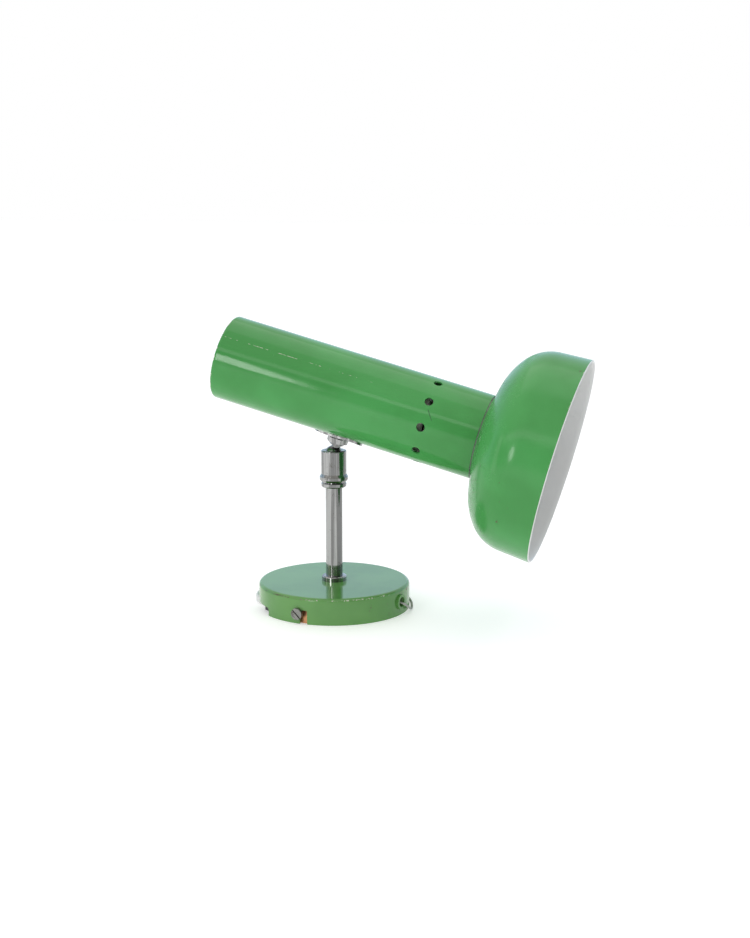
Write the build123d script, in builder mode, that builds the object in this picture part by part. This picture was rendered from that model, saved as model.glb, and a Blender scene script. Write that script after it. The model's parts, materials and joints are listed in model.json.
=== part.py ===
from build123d import *
import os
from math import cos, radians, sin, tan

# A wall or ceiling spot lamp, standing on its round base: a tube head with a mushroom
# shade, on a short chrome post with a ball joint. Millimetres, +Z up. The origin is the
# centre of the base, in the plane that lies against the wall. The head points to +X.

os.makedirs("parts", exist_ok=True)

# ---------------------------------------------------------------- driving dimensions
# Base cap, a cup of pressed steel
base_r = 45.0
base_h = 15.6
cap_wall = 1.0
cap_edge_r = 2.0
notch_angle = -155.5  # cable notch in the rim, its middle
notch_half_width = 17.6
notch_h = 4.7
notch_corner_r = 1.5
eyelet_angle = -14.5
eyelet_z = 8.0
eyelet_hole_r = 3.0
eyelet_lip_w = 1.4
eyelet_lip_out = 1.2  # how far the lip stands out of the wall
# Bayonet slots and the screws that hold the cap
screw_angle = -101.5
screw_z = 6.0
screw_r = 1.75
screw_head_r = 3.4
screw_head_h = 2.0
screw_slot_turn = -43.0
slot_clearance = 0.45
channel_shift = 3.55  # from the screw to the middle of the way in
channel_w = 4.7
# Wall plate
plate_t = 1.5
plate_w = 16.0
tab_inset = 2.4  # from the outside of a tab to the outside of the cap
tab_w = 12.0
tab_h = 11.0
wall_hole_pcd = 60.0
wall_hole_r = 2.25
cable_hole_r = 5.0
# Post
post_r = 5.0
post_bore_r = 3.0
post_tip_r = 4.0  # threaded tip in the swivel seat
post_top = 72.4
post_below = 6.0  # thread under the top of the cap
collar_r = 7.35
collar_h = 3.0
post_nut_across = 14.0
post_nut_h = 3.0
post_washer_r = 8.5
post_washer_t = 0.8
# Swivel
seat_r = 7.5
seat_h = 2.6
seat_gap = 0.8  # the dark line between seat and housing
spigot_r = 5.0
spigot_h = 3.8
housing_wall = 1.8  # round the ball
housing_bead_w = 0.95
housing_bead_h = 4.6
housing_above_ball = 3.0
housing_floor_t = 1.7
running = 0.08  # radial clearance of a turning fit
ball_r = 5.75
ball_above_post = 19.2
throat_r = 2.8
throat_end = 6.3
shank_r = 4.0
stem_bore_r = 1.8
stem_past_bracket = 4.7
stem_nut_across = 11.0
stem_nut_h = 2.95
saddle_t = 1.2
saddle_length = 34.0
saddle_width = 13.0
saddle_turn = -25.0
saddle_gap = 0.05
rivet_head_r = 3.3
rivet_head_h = 1.5
rivet_tail_r = 2.6
rivet_tail_h = 0.9
# Head
head_tilt = 15.0  # how far the tube points down at rest
tube_r = 25.0
tube_wall = 1.0
tube_length = 161.0
tube_shift = 2.3  # how far the tube's middle is ahead of the stem
tube_end_r = 1.5
ball_to_tube = 12.12  # from the ball's centre to the tube, along the stem
vent_setback = 32.2  # from the tube's front end
vent_r = 2.5
vent_count = 10
# Shade, as points ahead of the tube's front end and out from its axis
shade_wall = 1.2
shade_rim_ahead, shade_rim_r = 47.1, 60.3
shade_shoulder_ahead, shade_shoulder_r = 28.6, 59.2
shade_crown_ahead, shade_crown_r = 11.2, 50.5
shade_root_ahead, shade_root_out = 2.2, 1.2
neck_line = 0.6  # bare ring seen between tube and shade
neck_recess = 0.45
neck_ring_t = 1.1
neck_ring_in = 9.0  # how far the ring reaches into the tube
neck_ring_out = 3.2
# Reflector bulb and lampholder
bulb_inset = 8.0  # behind the shade's rim
bulb_length = 103.0
bulb_r = 31.5
bulb_neck_r = 13.0
bulb_glass_t = 0.9
bulb_cap_r = 13.1
bulb_cap_h = 27.0
holder_r = 19.5
holder_shell_t = 0.4
holder_length = 40.5
holder_to_bulb = 10.0  # from the holder's back to the bulb's
holder_floor = 7.0
bracket_t = 1.5
bracket_w = 14.0
bracket_foot_back = 8.0
bracket_above_axis = 9.0
nipple_r = 5.0
nipple_bore_r = 3.0
nipple_nut_h = 3.0
nipple_past_nut = 1.0
# Wiring
block_start = 7.5
block_length = 17.0
block_w = 16.0
block_h = 8.0
block_z = 5.5  # height of the clamping tubes
pole_shift = 4.0
lead_r = 0.8
core_r = 1.0
flex_w = 4.4
flex_t = 2.2
flex_z = 2.3
string_r = 0.7
knob_r = 3.5
knob_h = 12.0
switch_length = 14.0
switch_w = 16.0
switch_h = 10.0
plunger_r = 1.2
plunger_travel = 3.0
ferrule_r = 2.0
ferrule_h = 1.8

# ---------------------------------------------------------------- places that follow
cap_inner_r = base_r - cap_wall
cap_ceiling = base_h - cap_wall
plate_r = base_r - tab_inset
plunger_end = cap_inner_r - 3.8
switch_start = plunger_end - switch_length - 4.2
slot_half_h = screw_r + slot_clearance
slot_top = screw_z + slot_half_h
post_bottom = cap_ceiling - post_below
seat_top = post_top + seat_h
housing_bottom = seat_top + seat_gap
spigot_top = seat_top + spigot_h
ball_z = post_top + ball_above_post
housing_r = ball_r + housing_wall
housing_bead_r = housing_r + housing_bead_w
housing_top = ball_z + housing_above_ball
housing_bore_r = ball_r + running
clip_bottom = housing_bottom + housing_floor_t + running
tube_back = tube_shift - tube_length / 2
tube_front = tube_shift + tube_length / 2
vent_u = tube_front - vent_setback
shade_rim = (tube_front + shade_rim_ahead, shade_rim_r)
shade_shoulder = (tube_front + shade_shoulder_ahead, shade_shoulder_r)
shade_crown = (tube_front + shade_crown_ahead, shade_crown_r)
shade_root = (tube_front + shade_root_ahead, tube_r + shade_root_out)
bulb_face_u = shade_rim[0] - bulb_inset
bulb_back = bulb_face_u - bulb_length
holder_rear = bulb_back - holder_to_bulb
holder_front = holder_rear + holder_length

DOWN = radians(head_tilt)
head_dir = Vector(cos(DOWN), 0, -sin(DOWN))
stem_dir = Vector(sin(DOWN), 0, cos(DOWN))
ball_centre = Vector(0, 0, ball_z)
ball_to_axis = ball_to_tube + tube_r
tube_centre = ball_centre + stem_dir * ball_to_axis

# Section planes have the radius or the axis as local x and the other one as local y
HEAD_SECTION = Plane(origin=tube_centre, x_dir=head_dir, z_dir=(0, -1, 0))
HEAD_CROSS = Plane(origin=tube_centre, x_dir=(0, 1, 0), z_dir=head_dir)
HEAD_AXIS = Axis(tube_centre, head_dir)
STEM_SECTION = Plane(origin=ball_centre, x_dir=head_dir, z_dir=(0, -1, 0))
STEM_CROSS = Plane(origin=ball_centre, x_dir=head_dir, z_dir=stem_dir)
STEM_AXIS = Axis(ball_centre, stem_dir)


def polar(angle, radius, height=0.0):
    """The point at that angle round the base, distance from its middle and height."""
    return Vector(radius * cos(radians(angle)), radius * sin(radians(angle)), height)


def facing_out(angle, radius, height=0.0):
    """A plane that faces away from the post, with local y up."""
    along = (-sin(radians(angle)), cos(radians(angle)), 0)
    return Plane(origin=polar(angle, radius, height), x_dir=along, z_dir=polar(angle, 1))


def ring(plane, outer_r, inner_r, height):
    """Adds a flat ring that stands on the plane."""
    with BuildSketch(plane) as section:
        Circle(outer_r)
        Circle(inner_r, mode=Mode.SUBTRACT)
    extrude(section.sketch, amount=height)


def turn(plane, axis, outline):
    """Adds the solid that a closed outline of straight lines sweeps round the axis."""
    with BuildSketch(plane) as section:
        with BuildLine():
            Polyline(*outline, close=True)
        make_face()
    revolve(section.sketch, axis=axis)


def hex_nut(plane, across_flats, inner_r, height):
    """Adds a hexagon nut that stands on the plane, its outer corners turned down."""
    with BuildSketch(plane) as section:
        RegularPolygon(radius=across_flats / 2, side_count=6, major_radius=False)
        Circle(inner_r, mode=Mode.SUBTRACT)
    extrude(section.sketch, amount=height)


def largest_radii(points):
    """One arc radius for each corner of a route: 0.45 of the shorter run over tan(half the turn)."""
    radii = []
    for before, corner, after in zip(points, points[1:], points[2:]):
        coming, going = corner - before, after - corner
        half_turn = radians(coming.get_angle(going)) / 2
        radii.append(0.45 * min(coming.length, going.length) / tan(half_turn))
    return radii


def wire(points, radius):
    """Adds a round wire along straight runs joined by arcs."""
    route = [Vector(*point) for point in points]
    with BuildLine() as path:
        FilletPolyline(*route, radius=largest_radii(route))
    start = Plane(origin=route[0], z_dir=(route[1] - route[0]).normalized())
    with BuildSketch(start) as section:
        Circle(radius)
    sweep(section.sketch, path=path.line)


# ---------------------------------------------------------------- base
with BuildPart() as base_cap:
    with BuildSketch():
        Circle(base_r)
    extrude(amount=base_h)
    fillet(base_cap.faces().sort_by(Axis.Z)[-1].edges(), cap_edge_r)
    with BuildSketch():
        Circle(cap_inner_r)
    extrude(amount=cap_ceiling, mode=Mode.SUBTRACT)
    ceiling = base_cap.faces().filter_by(Axis.Z).sort_by(Axis.Z)[-2]
    fillet(ceiling.edges(), cap_edge_r - cap_wall)
    # Eyelet with a drawn lip, for the pull string
    with BuildSketch(facing_out(eyelet_angle, cap_inner_r - cap_wall, eyelet_z)):
        Circle(eyelet_hole_r + eyelet_lip_w)
    extrude(amount=2 * cap_wall + eyelet_lip_out)
    with BuildSketch(facing_out(eyelet_angle, cap_inner_r - 2 * cap_wall, eyelet_z)):
        Circle(eyelet_hole_r)
    extrude(amount=4 * cap_wall + eyelet_lip_out, mode=Mode.SUBTRACT)
    with BuildSketch(Plane.XY.offset(cap_ceiling)):
        Circle(post_r + running)
    extrude(amount=cap_wall, mode=Mode.SUBTRACT)
    for half_turn in (0, 180):
        with BuildSketch(facing_out(screw_angle + half_turn, cap_inner_r - cap_wall)) as slot:
            with Locations((channel_shift, slot_top / 2)):
                Rectangle(channel_w, slot_top)
            with Locations((channel_shift + channel_w / 2, screw_z)):
                Rectangle(
                    channel_shift + channel_w / 2 + slot_half_h,
                    2 * slot_half_h,
                    align=(Align.MAX, Align.CENTER),
                )
            fillet([v for v in slot.vertices() if v.Y > slot_half_h], 0.9)
        extrude(amount=3 * cap_wall, mode=Mode.SUBTRACT)
    with BuildSketch(facing_out(notch_angle, base_r / 2)) as notch:
        Rectangle(2 * notch_half_width, notch_h, align=(Align.CENTER, Align.MIN))
        fillet(notch.vertices().group_by(Axis.Y)[-1], notch_corner_r)
    extrude(amount=base_r, mode=Mode.SUBTRACT)

with BuildPart() as wall_plate:
    bar = Plane(origin=(0, 0, 0), x_dir=polar(screw_angle, 1), z_dir=(0, 0, 1))
    with BuildSketch(bar):
        Rectangle(2 * (plate_r - plate_t), plate_w)
        with Locations((-wall_hole_pcd / 2, 0), (wall_hole_pcd / 2, 0)):
            Circle(wall_hole_r, mode=Mode.SUBTRACT)
        Circle(cable_hole_r, mode=Mode.SUBTRACT)
        with Locations((-block_start - block_length / 2, 0)):
            Circle(screw_r, mode=Mode.SUBTRACT)
    extrude(amount=plate_t)
    for half_turn in (0, 180):
        with BuildSketch(facing_out(screw_angle + half_turn, plate_r - plate_t)) as tab:
            Rectangle(tab_w, tab_h, align=(Align.CENTER, Align.MIN))
            fillet(tab.vertices().group_by(Axis.Y)[-1], 2)
            with Locations((0, screw_z)):
                Circle(screw_r, mode=Mode.SUBTRACT)
        extrude(amount=plate_t)

with BuildPart() as cap_screws:
    for half_turn in (0, 180):
        seat = facing_out(screw_angle + half_turn, base_r + 0.05, screw_z)
        with BuildSketch(seat):
            Circle(screw_r)
        extrude(amount=-(base_r - plate_r + plate_t + 1.2))
        with BuildSketch(seat):
            Circle(screw_head_r)
        extrude(amount=screw_head_h)
        with BuildSketch(seat.offset(screw_head_h)):
            Rectangle(3 * screw_head_r, 0.9, rotation=screw_slot_turn)
        extrude(amount=-0.9, mode=Mode.SUBTRACT)

with BuildPart() as post_tube:
    turn(
        Plane.XZ,
        Axis.Z,
        [
            (post_bore_r, post_bottom),
            (post_r, post_bottom),
            (post_r, post_top),
            (post_tip_r, post_top),
            (post_tip_r, spigot_top - 0.5),
            (post_bore_r, spigot_top - 0.5),
        ],
    )

with BuildPart() as foot_collar:
    ring(Plane.XY.offset(base_h), collar_r, post_r, collar_h)
    fillet(foot_collar.faces().sort_by(Axis.Z)[-1].outer_wire().edges(), 0.8)

with BuildPart() as post_washer:
    ring(
        Plane.XY.offset(cap_ceiling - post_washer_t), post_washer_r, post_r, post_washer_t
    )

with BuildPart() as post_nut:
    under_washer = Plane.XY.offset(cap_ceiling - post_washer_t - post_nut_h)
    hex_nut(under_washer, post_nut_across, post_r, post_nut_h)

with BuildPart() as swivel_seat:
    turn(
        Plane.XZ,
        Axis.Z,
        [
            (post_r, post_top),
            (seat_r - 0.7, post_top),
            (seat_r, post_top + 0.7),
            (seat_r, seat_top - 0.3),
            (seat_r - 0.3, seat_top),
            (spigot_r, seat_top),
            (spigot_r, spigot_top),
            (post_tip_r, spigot_top),
            (post_tip_r, post_top),
        ],
    )

with BuildPart() as seat_clip:
    ring(
        Plane.XY.offset(clip_bottom),
        housing_bore_r - running,
        spigot_r,
        spigot_top - clip_bottom,
    )

# ---------------------------------------------------------------- swivel housing
mouth_r = throat_r / cos(radians(30)) + housing_above_ball * tan(radians(30)) + 0.25

with BuildPart() as ball_housing:
    turn(
        Plane.XZ,
        Axis.Z,
        [
            (spigot_r + running, housing_bottom),
            (housing_r, housing_bottom),
            (housing_bead_r, housing_bottom + 0.28 * housing_bead_h),
            (housing_bead_r, housing_bottom + 0.62 * housing_bead_h),
            (housing_r, housing_bottom + housing_bead_h),
            (housing_r, housing_top),
            (mouth_r, housing_top),
            (mouth_r, ball_z),
            (mouth_r, housing_top - 6),
            (spigot_r + running, housing_bottom + housing_floor_t),
        ],
    )
    with BuildSketch(Plane.XY.offset(housing_bottom + housing_floor_t)):
        Circle(housing_bore_r)
    extrude(amount=ball_z - housing_bottom - housing_floor_t, mode=Mode.SUBTRACT)
    with Locations(ball_centre):
        Sphere(housing_bore_r, mode=Mode.SUBTRACT)
    fillet(ball_housing.faces().sort_by(Axis.Z)[-1].outer_wire().edges(), 0.9)

with BuildPart() as spring_washer:
    turn(
        Plane.XZ,
        Axis.Z,
        [
            (5.3, spigot_top + 0.1),
            (5.6, spigot_top + 0.5),
            (3.5, spigot_top + 1.7),
            (3.2, spigot_top + 1.3),
        ],
    )

cup_bottom = spigot_top + 1.8
with BuildPart() as friction_cup:
    ring(
        Plane.XY.offset(cup_bottom),
        housing_bore_r - running,
        post_bore_r,
        ball_z - 2.2 - cup_bottom,
    )
    with Locations(ball_centre):
        Sphere(housing_bore_r, mode=Mode.SUBTRACT)

# ---------------------------------------------------------------- ball and stem
saddle_bottom = ball_to_tube - saddle_t - saddle_gap
foot_drop = (tube_r - tube_wall) - ((tube_r - tube_wall) ** 2 - (bracket_w / 2) ** 2) ** 0.5
foot_bottom = ball_to_tube + tube_wall + foot_drop + 0.05
foot_top = foot_bottom + bracket_t
stem_top = foot_top + stem_past_bracket

with BuildPart() as ball_stem:
    with Locations(Location(STEM_CROSS)):
        Sphere(ball_r)
    turn(
        STEM_SECTION,
        STEM_AXIS,
        [
            (0, 0),
            (throat_r, 0),
            (throat_r, throat_end),
            (shank_r + 0.3, throat_end + 0.4),
            (shank_r + 0.3, saddle_bottom - stem_nut_h),
            (shank_r, saddle_bottom - stem_nut_h),
            (shank_r, stem_top - 0.4),
            (shank_r - 0.4, stem_top),
            (0, stem_top),
        ],
    )
    with BuildSketch(STEM_CROSS.offset(-ball_r)):
        Circle(stem_bore_r)
    extrude(amount=ball_r + stem_top, mode=Mode.SUBTRACT)

with BuildPart() as stem_nut:
    hex_nut(
        STEM_CROSS.offset(saddle_bottom - stem_nut_h), stem_nut_across, shank_r, stem_nut_h
    )

with BuildPart() as stem_washer:
    ring(STEM_CROSS.offset(foot_top + 0.05), 7.0, shank_r, 0.8)

with BuildPart() as stem_top_nut:
    hex_nut(STEM_CROSS.offset(foot_top + 0.85), 12.0, shank_r, 2.8)

# ---------------------------------------------------------------- tube and saddle
saddle_hole = saddle_length / 2 - 4.2
saddle_hole_r = 1.6
saddle_dir = head_dir * cos(radians(saddle_turn)) + Vector(0, sin(radians(saddle_turn)), 0)
saddle_plane = Plane(
    origin=ball_centre + stem_dir * (ball_to_tube - 4), x_dir=saddle_dir, z_dir=stem_dir
)
rivet_side = saddle_hole * sin(radians(-saddle_turn))
rivet_out = Vector(0, rivet_side, 0) - stem_dir * (tube_r**2 - rivet_side**2) ** 0.5
rivet_u = -saddle_hole * cos(radians(saddle_turn))


def off_tube(radius):
    """A plane across the rivet, that far from the tube's axis, facing outward."""
    out = rivet_out.normalized()
    return Plane(origin=tube_centre + head_dir * rivet_u + out * radius, z_dir=out)


with BuildPart() as lamp_tube:
    with BuildSketch(HEAD_CROSS.offset(tube_back)):
        Circle(tube_r)
    extrude(amount=tube_length)
    rear = lamp_tube.faces().sort_by(Axis(tube_centre, head_dir))[0]
    fillet(rear.edges(), tube_end_r)
    with BuildSketch(HEAD_CROSS.offset(tube_back + tube_wall)):
        Circle(tube_r - tube_wall)
    extrude(amount=tube_length, mode=Mode.SUBTRACT)
    for vent in range(vent_count):
        vent_angle = radians((vent + 0.5) * 360 / vent_count)
        vent_dir = Vector(0, sin(vent_angle), 0) + stem_dir * cos(vent_angle)
        with BuildSketch(Plane(origin=tube_centre + head_dir * vent_u, z_dir=vent_dir)):
            Circle(vent_r)
        extrude(amount=2 * tube_r, mode=Mode.SUBTRACT)
    with BuildSketch(STEM_CROSS):
        Circle(shank_r + running)
    extrude(amount=ball_to_axis, mode=Mode.SUBTRACT)
    with BuildSketch(off_tube(tube_r - 2 * tube_wall)):
        Circle(saddle_hole_r)
    extrude(amount=4 * tube_wall, mode=Mode.SUBTRACT)

# The saddle is a round-ended strip of a shell that lies round the tube
with BuildPart() as saddle_plate:
    with BuildSketch(HEAD_CROSS.offset(-saddle_length)):
        Circle(tube_r + saddle_gap + saddle_t)
        Circle(tube_r + saddle_gap, mode=Mode.SUBTRACT)
    extrude(amount=2 * saddle_length)
    with BuildSketch(saddle_plane):
        SlotOverall(saddle_length, saddle_width)
    extrude(amount=12, mode=Mode.INTERSECT)
    with BuildSketch(saddle_plane):
        Circle(shank_r + running)
        with Locations((saddle_hole, 0)):
            Circle(saddle_hole_r)
    extrude(amount=12, mode=Mode.SUBTRACT)
    with BuildSketch(off_tube(tube_r - tube_wall)):
        Circle(saddle_hole_r)
    extrude(amount=4 * saddle_t, mode=Mode.SUBTRACT)

with BuildPart() as saddle_rivet:
    with BuildSketch(off_tube(tube_r + saddle_gap + saddle_t + 0.15)):
        Circle(rivet_head_r)
    extrude(amount=rivet_head_h)
    fillet(saddle_rivet.faces().sort_by(Axis(ball_centre, stem_dir))[0].edges(), 1.2)
    rivet_tail = tube_r - tube_wall - 0.5 - rivet_tail_h
    with BuildSketch(off_tube(rivet_tail)):
        Circle(saddle_hole_r)
    extrude(amount=tube_r - rivet_tail + saddle_gap + saddle_t + 0.2)
    with BuildSketch(off_tube(rivet_tail)):
        Circle(rivet_tail_r)
    extrude(amount=rivet_tail_h)

# ---------------------------------------------------------------- lampholder
foot_level = foot_bottom - ball_to_axis
nipple_past_bracket = nipple_nut_h + nipple_past_nut
nipple_back = holder_rear - bracket_t - nipple_past_bracket

with BuildPart() as holder_bracket:
    with BuildSketch(STEM_CROSS.offset(foot_bottom)):
        with Locations(((holder_rear - bracket_foot_back) / 2, 0)):
            RectangleRounded(holder_rear + bracket_foot_back, bracket_w, 1.5)
        Circle(shank_r + running, mode=Mode.SUBTRACT)
    extrude(amount=bracket_t)
    with BuildSketch(HEAD_CROSS.offset(holder_rear - bracket_t)) as upright:
        with Locations((0, foot_level)):
            Rectangle(
                bracket_w, bracket_above_axis - foot_level, align=(Align.CENTER, Align.MIN)
            )
        fillet(upright.vertices().group_by(Axis.Y)[-1], 4)
        Circle(nipple_r, mode=Mode.SUBTRACT)
    extrude(amount=bracket_t)

with BuildPart() as holder_nipple:
    ring(
        HEAD_CROSS.offset(nipple_back),
        nipple_r,
        nipple_bore_r,
        bracket_t + nipple_past_bracket + holder_floor / 2,
    )

with BuildPart() as nipple_nut:
    behind_bracket = HEAD_CROSS.offset(holder_rear - bracket_t - nipple_nut_h)
    hex_nut(behind_bracket, post_nut_across, nipple_r, nipple_nut_h)

shell_r = bulb_cap_r + 0.15 + holder_shell_t
with BuildPart() as lampholder_body:
    with BuildSketch(HEAD_CROSS.offset(holder_rear)):
        Circle(holder_r)
    extrude(amount=holder_length)
    fillet(lampholder_body.faces().sort_by(HEAD_AXIS)[0].edges(), 1.5)
    with BuildSketch(HEAD_CROSS.offset(holder_rear)):
        Circle(nipple_r)
    extrude(amount=holder_floor / 2, mode=Mode.SUBTRACT)
    with BuildSketch(HEAD_CROSS.offset(holder_rear + holder_floor)):
        Circle(shell_r)
    extrude(amount=holder_length, mode=Mode.SUBTRACT)

with BuildPart() as lampholder_shell:
    ring(
        HEAD_CROSS.offset(holder_rear + holder_floor + 4.5),
        shell_r,
        shell_r - holder_shell_t,
        25.0,
    )

with BuildPart() as lampholder_contact:
    turn(
        HEAD_SECTION,
        HEAD_AXIS,
        [
            (holder_rear + holder_floor, 0),
            (holder_rear + holder_floor, 5.0),
            (holder_rear + holder_floor + 0.8, 5.0),
            (holder_rear + holder_floor + 0.8, 3.0),
            (bulb_back, 1.5),
            (bulb_back, 0),
        ],
    )

# ---------------------------------------------------------------- bulb
cap_front = bulb_back + bulb_cap_h
bulb_wide_u = bulb_face_u - 17.0
bulb_neck_u = cap_front + 12.0

with BuildPart() as bulb_glass:
    for inset, mode in ((0, Mode.ADD), (bulb_glass_t, Mode.SUBTRACT)):
        with BuildSketch(HEAD_SECTION) as section:
            with BuildLine():
                neck = Line(
                    (cap_front, bulb_neck_r - inset), (bulb_neck_u, bulb_neck_r - inset)
                )
                cone = Spline(
                    neck @ 1,
                    (0.4 * bulb_neck_u + 0.6 * bulb_wide_u, 0.68 * bulb_r - inset),
                    (bulb_wide_u, bulb_r - inset),
                    tangents=((1, 0.3), (1, 0)),
                )
                face = Spline(
                    cone @ 1,
                    (bulb_face_u - 5, 0.66 * bulb_r - inset),
                    (bulb_face_u - inset, 0),
                    tangents=((1, 0), (0, -1)),
                )
                Polyline(face @ 1, (cap_front, 0), neck @ 0)
            make_face()
        revolve(section.sketch, axis=HEAD_AXIS, mode=mode)

with BuildPart() as bulb_cap:
    ring(HEAD_CROSS.offset(bulb_back + 3.5), bulb_cap_r, bulb_cap_r - 0.5, bulb_cap_h - 3.5)

with BuildPart() as bulb_insulator:
    turn(
        HEAD_SECTION,
        HEAD_AXIS,
        [
            (bulb_back + 0.8, 3.0),
            (bulb_back + 3.5, bulb_cap_r - 0.5),
            (bulb_back + 6.0, bulb_cap_r - 0.5),
            (bulb_back + 6.0, 0),
            (bulb_back + 0.8, 0),
        ],
    )

with BuildPart() as bulb_contact:
    with BuildSketch(HEAD_CROSS.offset(bulb_back)):
        Circle(3.0)
    extrude(amount=0.8)

with BuildPart() as bulb_stem:
    with BuildSketch(HEAD_CROSS.offset(bulb_back + 6.0)):
        Circle(4.5)
    extrude(amount=36.0)
    fillet(bulb_stem.faces().sort_by(HEAD_AXIS)[-1].edges(), 1.5)

with BuildPart() as bulb_filament:
    for side in (-1, 1):
        start = tube_centre + head_dir * (bulb_back + 42.0) + Vector(0, side * 2.0, 0)
        straight = start + head_dir * 3.0
        knee = straight + head_dir * 6.0 + Vector(0, side * 4.0, 0)
        end = knee + head_dir * 9.0
        wire([start, straight, knee, end], 0.35)
    with BuildSketch(Plane(origin=end, z_dir=(0, -1, 0))) as section:
        Circle(0.5)
    extrude(section.sketch, amount=12.0)

# ---------------------------------------------------------------- shade and its ring
shade_back = tube_front + neck_line

with BuildPart() as neck_ring:
    ring(
        HEAD_CROSS.offset(tube_front - neck_ring_in),
        tube_r - tube_wall,
        tube_r - tube_wall - neck_ring_t,
        neck_ring_in + neck_line + neck_ring_out,
    )
    ring(
        HEAD_CROSS.offset(tube_front), tube_r - neck_recess, tube_r - tube_wall, neck_line
    )


def inside(point, along):
    """The inner face's point across the sheet from an outer point, whose outline runs along."""
    return Vector(*point) + Vector(-along.Y, along.X) * shade_wall


with BuildPart() as shade:
    with BuildSketch(HEAD_SECTION) as section:
        with BuildLine():
            skirt = Line(shade_rim, shade_shoulder)
            shoulder = TangentArc(skirt @ 1, shade_crown, tangent=skirt % 1)
            crown = TangentArc(shoulder @ 1, shade_root, tangent=shoulder % 1)
            inner_skirt = Line(inside(shade_rim, skirt % 0), inside(shade_shoulder, skirt % 1))
            inner_shoulder = TangentArc(
                inner_skirt @ 1, inside(shade_crown, shoulder % 1), tangent=skirt % 1
            )
            inner_crown = TangentArc(
                inner_shoulder @ 1, inside(shade_root, crown % 1), tangent=shoulder % 1
            )
            Polyline(
                crown @ 1,
                (shade_root[0], tube_r),
                (shade_back, tube_r),
                (shade_back, tube_r - tube_wall),
                (shade_root[0] + shade_wall, tube_r - tube_wall),
                inner_crown @ 1,
            )
            Line(inner_skirt @ 0, skirt @ 0)
        make_face()
    revolve(section.sketch, axis=HEAD_AXIS)

# ---------------------------------------------------------------- terminal block
block_plane = Plane(
    origin=polar(screw_angle + 180, block_start + block_length / 2, plate_t),
    x_dir=polar(screw_angle + 180, 1),
    z_dir=(0, 0, 1),
)
insert_r = 2.2
insert_bore_r = 1.3
insert_length = block_length - 2
terminal_screw_r = 1.3
terminal_head_r = 2.0
terminal_spots = [(x, y) for x in (-4.2, 4.2) for y in (-pole_shift, pole_shift)]
well_floor = block_z + insert_r

with BuildPart() as terminal_block:
    with BuildSketch(block_plane):
        RectangleRounded(block_length, block_w, 1)
    extrude(amount=block_h)
    poles = facing_out(screw_angle + 180, block_start, block_z)
    with BuildSketch(poles):
        with Locations((-pole_shift, 0), (pole_shift, 0)):
            Circle(insert_r)
    extrude(amount=block_length, mode=Mode.SUBTRACT)
    with BuildSketch(block_plane.offset(block_h)):
        with Locations(*terminal_spots):
            Circle(terminal_head_r + 0.05)
        Circle(2.9)
    extrude(amount=-(block_h - well_floor + plate_t + 0.8), mode=Mode.SUBTRACT)
    with BuildSketch(block_plane):
        Circle(1.5)
    extrude(amount=block_h, mode=Mode.SUBTRACT)

with BuildPart() as terminal_inserts:
    with BuildSketch(poles.offset(1)):
        with Locations((-pole_shift, 0), (pole_shift, 0)):
            Circle(insert_r - 0.02)
            Circle(insert_bore_r, mode=Mode.SUBTRACT)
    extrude(amount=insert_length)
    with BuildSketch(block_plane.offset(block_z - plate_t)):
        with Locations(*terminal_spots):
            Circle(terminal_screw_r)
    extrude(amount=insert_r, mode=Mode.SUBTRACT)

with BuildPart() as terminal_screws:
    with BuildSketch(block_plane.offset(block_z - plate_t + core_r)):
        with Locations(*terminal_spots):
            Circle(terminal_screw_r)
    extrude(amount=insert_r - core_r + 0.1)
    with BuildSketch(block_plane.offset(block_z - plate_t + insert_r + 0.1)):
        with Locations(*terminal_spots):
            Circle(terminal_head_r)
    extrude(amount=1.6)
    with BuildSketch(block_plane.offset(block_z - plate_t + insert_r + 1.7)):
        with Locations(*terminal_spots):
            Rectangle(3 * terminal_head_r, 0.6, mode=Mode.ADD)
    extrude(amount=-0.6, mode=Mode.SUBTRACT)

with BuildPart() as block_screw:
    with BuildSketch(block_plane.offset(-plate_t)):
        Circle(1.5)
    extrude(amount=well_floor + 0.1)
    with BuildSketch(block_plane.offset(well_floor - plate_t + 0.1)):
        Circle(2.8)
    extrude(amount=1.3)

# ---------------------------------------------------------------- wiring held inside
flex_leaves = polar(-166.0, base_r, flex_z)  # where the flex crosses the cap's rim
flex_dir = polar(140.0, 1)
flex_side = Vector(-flex_dir.Y, flex_dir.X, 0)
grip_length = 10.0
grip_w = 7.5
grip_front = flex_leaves - flex_dir * 12.0
grip_middle = grip_front - flex_dir * (grip_length / 2)
grip_floor = 0.3

with BuildPart() as flex_grip:
    grip_bottom = Vector(grip_middle.X, grip_middle.Y, grip_floor)
    with BuildSketch(Plane(origin=grip_bottom, x_dir=flex_dir, z_dir=(0, 0, 1))):
        RectangleRounded(grip_length, grip_w, 1)
    extrude(amount=cap_ceiling - grip_floor)
    with BuildSketch(Plane(origin=grip_middle, x_dir=flex_side, z_dir=flex_dir)):
        Rectangle(flex_t + 0.1, flex_w + 0.1)
    extrude(amount=grip_length / 2, mode=Mode.SUBTRACT)
    with BuildSketch(Plane(origin=grip_middle, x_dir=flex_side, z_dir=-flex_dir)):
        Rectangle(2 * core_r + 0.3, 4 * core_r + 0.4)
    extrude(amount=grip_length / 2, mode=Mode.SUBTRACT)

block_dir = polar(screw_angle + 180, 1)
block_side = Vector(-block_dir.Y, block_dir.X, 0)


def pole_point(side, distance, height=block_z):
    """A point over the block's axis, shifted to one of its two poles."""
    return block_dir * distance + block_side * (side * pole_shift) + Vector(0, 0, height)


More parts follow.
